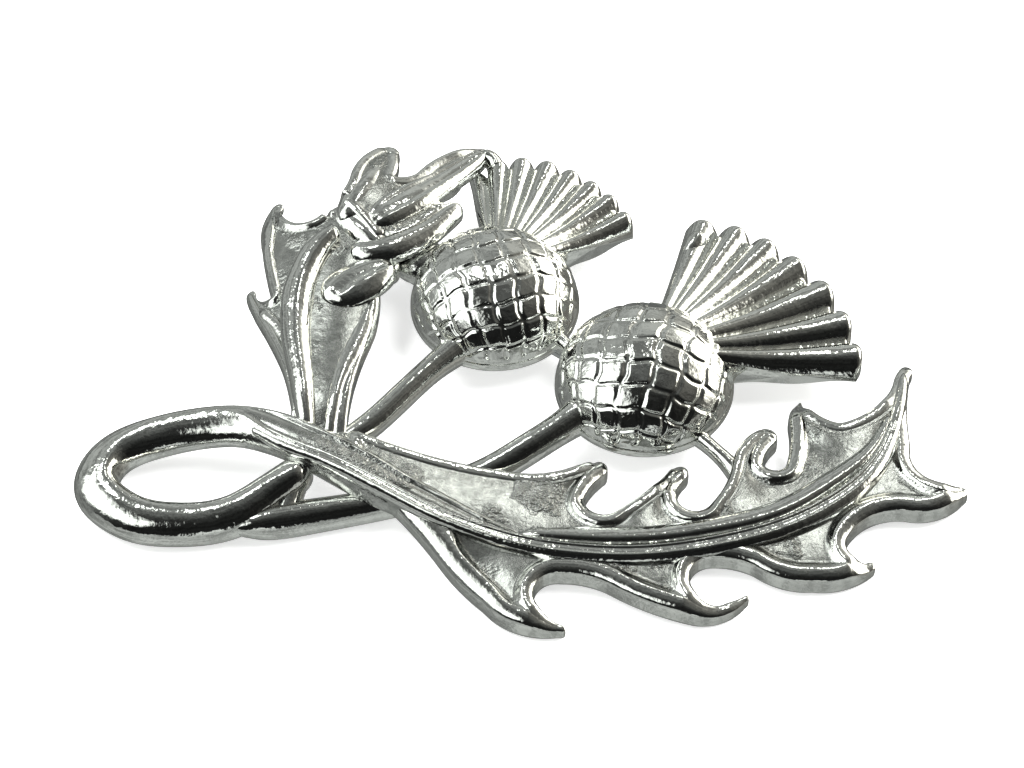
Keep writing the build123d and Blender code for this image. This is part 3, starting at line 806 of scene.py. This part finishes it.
# Big leaf. Each row: a point on the way, the arc's end, and the rim as above
big_leaf_start = (-12.0, -6.6)
big_leaf_edge = [
    (-6.5, -8.8, -0.4, -9.9, *SOFT),
    (2.9, -9.75, 5.5, -8.4, *SOFT),
    (6.45, -8.95, 6.2, -9.8, *HOOK),
    (5.3, -10.9, 4.8, -12.0, *NOTCH),
    (5.4, -13.0, 6.9, -13.1, *NOTCH),
    (9.1, -11.3, 11.0, -8.7, *SOFT),
    (11.9, -9.2, 11.75, -10.0, *HOOK),
    (11.2, -10.9, 11.1, -11.9, *NOTCH),
    (11.9, -12.9, 13.3, -12.5, *NOTCH),
    (14.4, -10.8, 14.9, -9.0, *SOFT),
    (15.6, -7.2, 16.9, -5.8, *SOFT),
    (18.0, -6.1, 17.95, -6.95, *HOOK),
    (17.3, -7.9, 17.0, -8.9, *NOTCH),
    (17.7, -9.5, 18.5, -9.2, *NOTCH),
    (18.9, -7.2, 18.9, -5.0, *NOTCH),
    (19.2, -3.8, 19.9, -2.8, *HOOK),
    (20.8, -4.6, 22.4, -5.5, *SOFT),
    (24.9, -4.0, 26.4, -1.0, *SOFT),
    (26.8, -0.1, 27.2, 0.5, *POINT),
    (27.7, 0.2, 27.6, -0.6, *POINT),
    (27.1, -4.0, 27.1, -7.4, *NOTCH),
    (27.4, -9.3, 28.6, -10.2, *NOTCH),
    (29.5, -10.4, 30.4, -10.3, *HOOK),
    (30.8, -10.7, 30.5, -11.2, *HOOK),
    (29.0, -12.4, 26.5, -12.7, *FRONT),
    (23.9, -13.3, 22.4, -14.9, *FRONT),
    (22.4, -16.0, 23.6, -16.6, *NOTCH),
    (24.2, -16.6, 24.1, -17.0, *HOOK),
    (22.3, -18.1, 20.0, -18.4, *FRONT),
    (17.9, -18.2, 16.1, -17.3, *FRONT),
    (14.7, -16.8, 13.2, -16.7, *BROAD),
    (11.9, -17.6, 12.0, -19.2, *NOTCH),
    (12.8, -20.0, 14.2, -19.8, *NOTCH),
    (14.9, -19.5, 15.5, -19.1, *HOOK),
    (15.7, -19.3, 15.5, -19.6, *HOOK),
    (14.0, -20.8, 12.0, -21.1, *FRONT),
    (9.3, -20.3, 6.7, -19.0, *FRONT),
    (4.9, -18.2, 3.2, -18.0, *BROAD),
    (1.6, -18.8, 1.5, -20.1, *NOTCH),
    (2.3, -21.1, 3.4, -21.6, *NOTCH),
    (3.55, -21.85, 3.1, -22.05, *HOOK),
    (0.4, -21.8, -1.9, -20.1, *FRONT),
    (-3.5, -18.5, -4.9, -16.7, *FOLD),
    (-6.6, -14.5, -8.7, -12.3, *MERGING),
    (-9.9, -11.3, -11.2, -10.2, *MERGING),
]
# Its arched top. Each row: x, then y and height at the near edge, middle and far edge
big_leaf_stations = [
    (-13, -17.0, 3.2, -10.0, 4.3, -4.0, 4.0),
    (-5, -17.5, 2.3, -12.5, 3.2, -7.0, 3.3),
    (1, -22.5, 1.8, -14.5, 2.6, -7.0, 2.6),
    (9, -22.5, 1.8, -15.0, 2.5, -7.0, 2.3),
    (18, -20.0, 1.8, -12.5, 2.5, -2.0, 2.2),
    (25, -18.0, 1.8, -8.0, 2.5, 1.5, 2.2),
    (32, -16.0, 1.75, -7.0, 2.3, 2.0, 1.9),
]
blade("big_leaf", big_leaf_start, big_leaf_edge, big_leaf_stations, 1.7)

# Small leaf, lower blade, with rows of the same columns
small_leaf_start = (-15.4, -8.4)
small_leaf_edge = [
    (-15.6, -0.8, -16.8, 2.3, 0.35, 0.5, 0.15),
    (-17.9, 3.9, -18.7, 6.2, 0.35, 0.5, 0.2),
    (-18.4, 6.5, -18.0, 6.0, *HOOK),
    (-17.4, 5.0, -16.7, 4.7, 0.3, 0.5, 0.2),
    (-17.3, 7.4, -17.7, 10.1, 0.35, 0.5, 0.3),
    (-17.8, 12.0, -17.2, 13.8, *HOOK),
    (-16.8, 14.1, -16.4, 13.3, *HOOK),
    (-16.1, 11.9, -15.3, 11.1, 0.3, 0.5, 0.3),
    (-14.3, 11.0, -13.3, 11.8, 0.3, 0.5, 0.2),
    (-11.5, 11.6, -9.8, 9.9, 0.3, 0.5, 0.1),
    (-8.3, 8.8, -7.9, 7.6, 0.3, 0.5, 0.1),
    (-8.1, 6.8, -8.7, 6.4, 0.3, 0.5, 0.1),
    (-9.2, 5.9, -9.2, 5.1, *HOOK),
    (-9.3, 3.0, -9.9, 0.5, *SOFT),
    (-10.8, -3.0, -11.3, -8.4, *SOFT),
]
# Its arched top. Each row: y, then x and height at the left edge, middle and right edge
small_leaf_stations = [
    (-9, -17.5, 2.0, -13.3, 2.5, -10.0, 2.2),
    (-6, -17.5, 2.8, -13.3, 3.7, -10.0, 3.3),
    (0, -19.0, 2.4, -14.0, 4.2, -8.0, 3.4),
    (6, -20.0, 2.2, -14.7, 4.7, -7.0, 3.6),
    (12, -19.0, 2.6, -13.5, 5.1, -7.0, 4.2),
    (16, -19.0, 2.6, -13.5, 5.1, -7.0, 4.4),
]
blade("small_leaf", small_leaf_start, small_leaf_edge, small_leaf_stations, 1.3, swap=True)

# The upper blade's own ground, folded over to the right; its lobes lie on it
folded_leaf_start = (-12.4, 12.2)
folded_leaf_edge = [
    (-11.9, 13.0, -11.5, 14.2, *SOFT),
    (-10.8, 16.3, -9.3, 18.0, *SOFT),
    (-8.5, 18.0, -8.1, 16.9, *SOFT),
    (-8.1, 15.6, -8.3, 14.6, *SOFT),
    (-7.4, 14.8, -6.6, 15.6, *SOFT),
    (-4.7, 17.9, -2.4, 19.3, *SOFT),
    (-1.7, 19.3, -1.7, 18.7, *SOFT),
    (-2.6, 17.4, -3.6, 15.3, *SOFT),
    (-4.4, 14.0, -5.4, 13.3, *SOFT),
    (-5.1, 13.2, -4.8, 12.8, *SOFT),
    (-4.75, 12.2, -5.2, 11.6, *SOFT),
    (-6.9, 9.7, -9.2, 8.3, *SOFT),
    (-10.5, 10.1, -12.4, 12.2, *SOFT),
]
# Its arched top, with the big leaf's columns
folded_leaf_stations = [
    (-16, 6.0, 4.3, 11.2, 5.2, 20.0, 4.2),
    (-11, 6.0, 4.8, 11.5, 6.1, 20.0, 4.6),
    (-6, 6.0, 4.2, 13.0, 5.2, 20.0, 4.3),
    (1, 6.0, 3.0, 16.5, 3.8, 22.0, 3.4),
]
blade("folded_leaf", folded_leaf_start, folded_leaf_edge, folded_leaf_stations, 1.1)

# Ridges and lobes of the small leaf and the second tuft's curl: a limb's rows and its noses
lobe_rows = {
    "small_leaf_rib": ([
        (-13.8, -8.2, 3.1, 1.2, 1.2), (-13.9, -6.9, 3.85, 1.3, 1.2), (-14.1, -5.2, 4.5, 1.5, 1.2),
        (-14.5, -2.3, 4.9, 1.75, 1.2), (-14.9, 0.4, 5.05, 2.0, 1.2), (-15.0, 2.5, 5.2, 2.15, 1.2),
        (-14.9, 4.5, 5.4, 2.15, 1.2), (-14.5, 6.2, 5.6, 2.05, 1.3), (-13.9, 7.7, 5.85, 1.9, 1.3),
        (-13.1, 8.8, 6.0, 1.6, 1.3), (-12.2, 9.6, 6.0, 1.2, 1.3)], (0, 0.6)),
    "right_lobe_rib": ([
        (-12.6, -8.2, 2.8, 1.0, 1.2), (-12.4, -6.9, 3.45, 1.2, 1.2), (-12.0, -3.8, 4.15, 1.5, 1.3),
        (-11.4, -1.4, 4.3, 1.8, 1.3), (-10.75, 0.5, 4.35, 1.9, 1.3), (-10.25, 2.1, 4.35, 1.8, 1.3),
        (-9.9, 3.8, 4.25, 1.4, 1.2), (-9.5, 5.0, 3.95, 0.9, 1.1)], (0, 0.5)),
    "left_lobe_rib": ([
        (-14.6, -5.4, 3.9, 0.8, 1.0), (-15.2, -2.3, 4.1, 0.9, 1.0), (-16.1, 0.4, 3.9, 1.0, 1.0),
        (-17.1, 2.7, 3.5, 0.9, 1.0), (-18.1, 5.0, 3.0, 0.6, 0.9), (-18.4, 6.0, 2.8, 0.3, 0.8)],
        (0, 0.3)),
    "curled_lobe": ([
        (-13.2, 3.5, 4.9, 2.3, 1.4, 0, 0.5, 0.3), (-12.4, 4.2, 5.2, 3.1, 1.5, 0.1, 0.7, 0.2),
        (-11.3, 5.0, 5.5, 3.5, 1.6, 0.3, 0.75, 0.35), (-10.1, 5.8, 5.55, 3.4, 1.6, 0.34, 0.75, 0.4),
        (-9.0, 6.7, 5.3, 2.8, 1.5, 0.2, 0.7, 0.3), (-8.1, 7.4, 4.95, 1.9, 1.4)], (1.3, 1.1)),
    "fold_body": ([
        (-12.9, 12.4, 4.9, 1.4, 1.6), (-11.9, 11.3, 5.5, 2.2, 1.8), (-10.7, 10.1, 5.7, 2.4, 1.8),
        (-9.5, 8.9, 5.5, 2.0, 1.6), (-8.7, 8.2, 5.2, 1.4, 1.4)], (0.9, 0.8)),
    "front_tongue": ([
        (-11.6, 8.6, 5.0, 1.5, 1.2), (-10.9, 8.3, 5.3, 2.0, 1.3), (-9.9, 8.1, 5.5, 2.2, 1.4),
        (-8.8, 8.3, 5.6, 2.3, 1.4), (-7.6, 9.0, 5.5, 2.4, 1.4), (-6.3, 10.0, 5.3, 2.3, 1.4),
        (-5.1, 11.3, 5.1, 2.0, 1.3), (-4.2, 12.4, 4.9, 1.7, 1.3), (-3.6, 13.1, 4.7, 1.3, 1.2)],
        (0.8, 0.7)),
    "upper_lobe": ([
        (-12.0, 9.9, 5.3, 1.4, 1.3), (-11.6, 11.0, 5.9, 2.0, 1.4), (-10.9, 12.6, 6.15, 2.4, 1.4),
        (-10.1, 14.3, 6.0, 2.5, 1.4), (-9.4, 15.9, 5.6, 2.3, 1.4), (-8.9, 17.2, 5.2, 1.9, 1.3)],
        (1.2, 0.9)),
    "tip_lobe": ([
        (-10.6, 9.6, 5.5, 1.8, 1.4, 0, 0.5, 0), (-9.5, 10.6, 6.1, 2.5, 1.5, 0.1, 0.5, 0),
        (-8.2, 11.8, 6.15, 2.9, 1.5, 0.2, 0.6, 0), (-6.7, 13.2, 5.9, 2.8, 1.5, 0.22, 0.62, 0),
        (-5.2, 14.8, 5.4, 2.3, 1.5, 0.22, 0.6, 0), (-3.7, 16.4, 5.0, 1.9, 1.5, 0.18, 0.55, 0),
        (-2.5, 17.7, 4.7, 1.5, 1.5, 0.1, 0.5, 0), (-1.9, 18.4, 4.5, 1.2, 1.4, 0.0, 0.5, 0)], (1.2, 0.7)),
    "second_tuft_curl": ([
        (12.2, 7.9, 3.9, 0.8, 1.2), (12.5, 8.8, 4.4, 1.3, 1.6), (12.9, 9.6, 4.65, 1.5, 1.8),
        (13.4, 10.4, 4.7, 1.3, 1.8)], (0.5, 0.6)),
}
for lobe, (rows, noses) in lobe_rows.items():
    limb(lobe, rows, 120, noses, around=36)

# Small bars that join the heads, the leaf and the tuft
bar_rows = {
    "globe_bar": [(2.6, 2.6, 3.3, 1.6, 1.2), (3.4, 1.7, 3.2, 1.2, 1.2), (4.7, 0.1, 3.2, 1.2, 1.2),
                  (5.3, -0.6, 3.3, 1.6, 1.2)],
    "leaf_bar": [(11.9, -5.8, 3.0, 1.5, 1.1), (13.2, -7.1, 2.8, 1.1, 1.1), (14.6, -8.5, 2.5, 1.2, 1.1),
                 (15.4, -9.4, 2.3, 1.6, 1.1)],
    "tuft_bar": [(-2.2, 18.2, 4.5, 1.1, 1.4), (-1.5, 17.9, 4.45, 1.1, 1.4), (-1.1, 17.1, 4.3, 1.3, 1.5)],
}
for bar, rows in bar_rows.items():
    limb(bar, rows, 40, (0.4, 0), around=36)


# Findings behind the spray


# Where the hinge and the catch stand in plan, the height of the pin's middle, and the sizes
HINGE = np.array([12.0, -4.6])
CATCH = np.array([-6.6, 9.6])
PIN_HEIGHT = 1.1
CATCH_WIDTH = 2.2
FINDING_WALL = 0.55
FINDING_TOP = 2.75
EYE_WIDTH = 1.0
FINDING_GAP = 0.12
# A plate's edges are softened over this depth, to this share of its outline
EDGE_DEPTH = 0.06
EDGE_SHARE = 0.94
# Where the catch's hook begins and ends round the pin
HOOK_TURN = np.radians([35, 325])
# The boss sits a little off the catch
BOSS_SHIFT = [0.1, -0.5]
BOSS_SATIN = 0.5
to_catch = (CATCH - HINGE) / np.linalg.norm(CATCH - HINGE)
beside_pin = np.array([to_catch[1], -to_catch[0]])


def plan(place, out, side):
    """A place in plan, moved along the pin and to its side."""
    return np.asarray(place) + to_catch * out + beside_pin * side


def upright(name, outline, origin, across, depth_way, thick):
    """A plate standing up: its outline, in sideways distance and height, carried through its
    thickness with softened edges."""
    outline = np.array(outline, float)
    middle = outline.mean(0)
    shrink = np.array([EDGE_SHARE, 1.0, 1.0, EDGE_SHARE])
    level = np.array([0.0, EDGE_DEPTH, thick - EDGE_DEPTH, thick])
    flat = middle + (outline - middle) * shrink[:, None, None]
    ground = origin + across * flat[..., :1] + depth_way * level[:, None, None]
    lay_piece(name, *tube(np.concatenate([ground, flat[..., 1:]], -1)))


# The hinge: two cheeks with half-round feet, one on each side of the pin's eye
foot_turn = np.linspace(math.pi, 2 * math.pi, 19)
round_foot = np.stack([PIN_HEIGHT * np.cos(foot_turn), PIN_HEIGHT + PIN_HEIGHT * np.sin(foot_turn)], -1)
cheek_outline = np.concatenate([round_foot, [(PIN_HEIGHT, FINDING_TOP), (-PIN_HEIGHT, FINDING_TOP)]])
cheek_inset = EYE_WIDTH / 2 + FINDING_GAP
for number, shift in enumerate((cheek_inset, -cheek_inset - FINDING_WALL)):
    upright(f"hinge_cheek_{number}", cheek_outline, plan(HINGE, 0, shift), to_catch, beside_pin,
            FINDING_WALL)

# The catch: a hook bent round the pin, a neck up to its plate, and the plate's round boss. Each
# place of the hook's section: out from the pin's middle, and the share of the catch's width
hook_section = np.array([(0.57, 0.05), (0.60, 0.0), (1.07, 0.0), (1.10, 0.05),
                         (1.10, 0.95), (1.07, 1.0), (0.60, 1.0), (0.57, 0.95)])
turn = np.linspace(*HOOK_TURN, 48)[:, None]
hook_out = CATCH_WIDTH * (hook_section[:, 1] - 0.5)[None] + 0 * turn
hook_side = -hook_section[:, 0] * np.cos(turn)
hook_plan = CATCH + to_catch * hook_out[..., None] + beside_pin * hook_side[..., None]
hook_rise = PIN_HEIGHT + hook_section[:, 0] * np.sin(turn)
lay_piece("catch_hook", *tube(np.concatenate([hook_plan, hook_rise[..., None]], -1)))
neck_outline = [(0.0, 1.7), (0.55, 1.45), (1.05, 1.2), (1.1, FINDING_TOP), (0.0, FINDING_TOP)]
upright("catch_neck", neck_outline, plan(CATCH, -CATCH_WIDTH / 2, 0), beside_pin, to_catch, CATCH_WIDTH)

# The boss's profile: out from its middle, and up
boss_profile = np.array([(0.0, 3.95), (0.7, 3.90), (1.2, 3.72), (1.6, 3.42), (1.85, 3.05),
                         (1.95, 2.7), (1.93, 2.4), (1.8, 2.2), (1.5, 2.1), (0.0, 2.1)])
spin = np.linspace(0, 2 * math.pi, 64, endpoint=False)
ring = np.stack([np.cos(spin), np.sin(spin)], -1)
boss_plan = CATCH + BOSS_SHIFT + ring[None] * boss_profile[:, 0][:, None, None]
boss_rise = np.broadcast_to(boss_profile[:, 1][:, None, None], (len(boss_profile), len(spin), 1))
boss_points, boss_quads = tube(np.concatenate([boss_plan, boss_rise], -1))
lay_piece("catch_boss", boss_points, boss_quads, np.full(len(boss_points), BOSS_SATIN))

# The web that joins the small leaf, the boss and the first globe
web_rows = [(-10.2, 8.6, 3.6, 2.6, 1.4), (-8.4, 9.1, 3.5, 2.2, 1.3), (-6.6, 9.4, 3.4, 2.0, 1.2),
            (-4.9, 8.7, 3.5, 2.4, 1.3)]
limb("catch_web", web_rows, 60, around=36)


# Light, floor and camera


def look_from(place, target):
    """The turn that points a lamp from place to target."""
    return (Vector(target) - Vector(place)).to_track_quat("-Z", "Y").to_euler()


def soft_light(name, place, target, size, power):
    """A soft box for the table; the plating mirrors the room instead."""
    lamp = bpy.data.lights.new(name, "AREA")
    lamp.shape = "RECTANGLE"
    lamp.size, lamp.size_y = size
    lamp.energy = power
    box = bpy.data.objects.new(name, lamp)
    box.location = place
    box.rotation_euler = look_from(place, target)
    box.visible_glossy = False
    bpy.context.scene.collection.objects.link(box)


# A sheet of white acrylic, lit a little from below
FLOOR_REACH = 1.2
FLOOR_WHITE = (0.9, 0.9, 0.9, 1)
FLOOR_GLOW = 0.62
floor_mesh = bpy.data.meshes.new("floor")
floor_mesh.from_pydata([(-FLOOR_REACH, -FLOOR_REACH, 0), (FLOOR_REACH, -FLOOR_REACH, 0),
                        (FLOOR_REACH, FLOOR_REACH, 0), (-FLOOR_REACH, FLOOR_REACH, 0)], [], [(0, 1, 2, 3)])
floor = bpy.data.objects.new("floor", floor_mesh)
floor.visible_glossy = False
bpy.context.scene.collection.objects.link(floor)
acrylic = bpy.data.materials.new("white acrylic")
acrylic.use_nodes = True
acrylic_shader = acrylic.node_tree.nodes["Principled BSDF"]
acrylic_shader.inputs["Base Color"].default_value = FLOOR_WHITE
acrylic_shader.inputs["Roughness"].default_value = 0.9
acrylic_shader.inputs["Emission Color"].default_value = (1, 1, 1, 1)
acrylic_shader.inputs["Emission Strength"].default_value = FLOOR_GLOW
floor_mesh.materials.append(acrylic)

world = bpy.data.worlds.new("studio")
bpy.context.scene.world = world
world.use_nodes = True
sky_nodes, sky_links = world.node_tree.nodes, world.node_tree.links
sky = sky_nodes["Background"]
direction = sky_nodes.new("ShaderNodeTexCoord").outputs["Generated"]


def sky_math(operation, first, second):
    """One step of arithmetic on the sky's brightness, on numbers or other steps' outputs."""
    step = sky_nodes.new("ShaderNodeMath")
    step.operation = operation
    for socket, value in zip(step.inputs, (first, second)):
        if isinstance(value, (int, float)):
            socket.default_value = value
        else:
            sky_links.new(value, socket)
    return step.outputs["Value"]


def sky_ramp(value, limits, light):
    """A smooth run from the first light to the second as value goes from limit to limit."""
    ramp = sky_nodes.new("ShaderNodeMapRange")
    ramp.interpolation_type = "SMOOTHSTEP"
    for name, number in zip(("From Min", "From Max", "To Min", "To Max"), (*limits, *light)):
        ramp.inputs[name].default_value = number
    sky_links.new(value, ramp.inputs["Value"])
    return ramp.outputs["Result"]


def sky_side(azimuth, height):
    """How far a direction leans towards a side: azimuth 0 is right, 90 the back."""
    lean = sky_nodes.new("ShaderNodeVectorMath")
    lean.operation = "DOT_PRODUCT"
    turn, rise = math.radians(azimuth), math.radians(height)
    lean.inputs[1].default_value = (math.cos(rise) * math.cos(turn), math.cos(rise) * math.sin(turn),
                                    math.sin(rise))
    sky_links.new(direction, lean.inputs[0])
    return lean.outputs["Value"]


# Bright panels of the room: azimuth, height, inner and outer half angle, brightness
SKY_PANELS = [
    (22, 8, 18, 34, 2.6),
    (50, 22, 6, 22, 1.6),
    (182, 38, 14, 33, 1.7),
    (222, 45, 6, 22, 1.4),
    (75, 48, 1, 3, 9.0),
    (70, 60, 1, 5, 5.0),
    (122, 62, 3, 7, 3.6),
    (140, 50, 3, 8, 2.6),
    (-85, 2, 3, 10, 0.8),
]
# The room: a grey back wall, a dark side where the viewer stands, and the dull table below. Each
# pair is where a run begins and ends, by the lean towards its side, and its light there
ROOM_LIMITS, ROOM_LIGHT = (-0.85, 0.90), (0.012, 0.35)
TABLE_LIMITS = (-0.06, -0.01)
TABLE_GLOW_LIMITS, TABLE_GLOW = (0.1, 1.0), (0.18, 0.42)
MOTTLE_LIMITS, MOTTLE_LIGHT = (0.3, 0.7), (0.6, 1.4)
WARM_LIMITS = (0.2, 0.9)
COOL_WHITE = (0.96, 1.0, 0.96, 1)
WARM_WHITE = (1.0, 0.98, 0.88, 1)
room = sky_ramp(sky_side(90, -15), ROOM_LIMITS, ROOM_LIGHT)
for azimuth, height, inner, outer, light in SKY_PANELS:
    rim_and_heart = math.cos(math.radians(outer)), math.cos(math.radians(inner))
    room = sky_math("ADD", room, sky_ramp(sky_side(azimuth, height), rim_and_heart, (0, light)))
table = sky_ramp(sky_side(0, 90), TABLE_LIMITS, (1, 0))
room = sky_math("MULTIPLY", room, sky_math("SUBTRACT", 1, table))
table_light = sky_ramp(sky_side(-90, -40), TABLE_GLOW_LIMITS, TABLE_GLOW)
room = sky_math("ADD", room, sky_math("MULTIPLY", table, table_light))
mottle = sky_nodes.new("ShaderNodeTexNoise")
mottle.inputs["Scale"].default_value = 5.0
mottle.inputs["Detail"].default_value = 3.0
sky_links.new(direction, mottle.inputs["Vector"])
room = sky_math("MULTIPLY", room, sky_ramp(mottle.outputs["Fac"], MOTTLE_LIMITS, MOTTLE_LIGHT))
tint = sky_nodes.new("ShaderNodeMix")
tint.data_type = "RGBA"
tint.inputs["A"].default_value = COOL_WHITE
tint.inputs["B"].default_value = WARM_WHITE
sky_links.new(sky_ramp(sky_side(15, 10), WARM_LIMITS, (0, 1)), tint.inputs["Factor"])
sky_links.new(tint.outputs["Result"], sky.inputs["Color"])
sky_links.new(room, sky.inputs["Strength"])

soft_light("left box", (-0.30, 0.20, 0.45), (0, 0, 0), (0.40, 0.40), 4.5)
soft_light("right box", (0.32, 0.10, 0.45), (0, 0, 0), (0.40, 0.40), 4.5)

# The camera stands in front at the photograph's angle
PHOTO_WIDTH = 1024
SENSOR_WIDTH = 36.0
CAMERA_RISE = math.radians(50.0)
CAMERA_DISTANCE = 0.260
PIXELS_PER_MM = 14.35
camera_data = bpy.data.cameras.new("camera")
camera = bpy.data.objects.new("camera", camera_data)
camera.location = (to_frame([0.0, 0.0, 0.0])
                   + CAMERA_DISTANCE * np.array([0, -math.cos(CAMERA_RISE), math.sin(CAMERA_RISE)]))
camera.rotation_euler = (math.pi / 2 - CAMERA_RISE, 0, 0)
camera_data.sensor_width = SENSOR_WIDTH
camera_data.lens = SENSOR_WIDTH * PIXELS_PER_MM * CAMERA_DISTANCE * 1000 / PHOTO_WIDTH
camera_data.clip_start = 0.01
bpy.context.scene.collection.objects.link(camera)
bpy.context.scene.camera = camera
bpy.context.scene.view_settings.view_transform = "Standard"

# The pin keeps its solid's shape and takes the wire's metal
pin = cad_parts["pin"]
pin.data.materials.clear()
pin.data.materials.append(wire_steel)
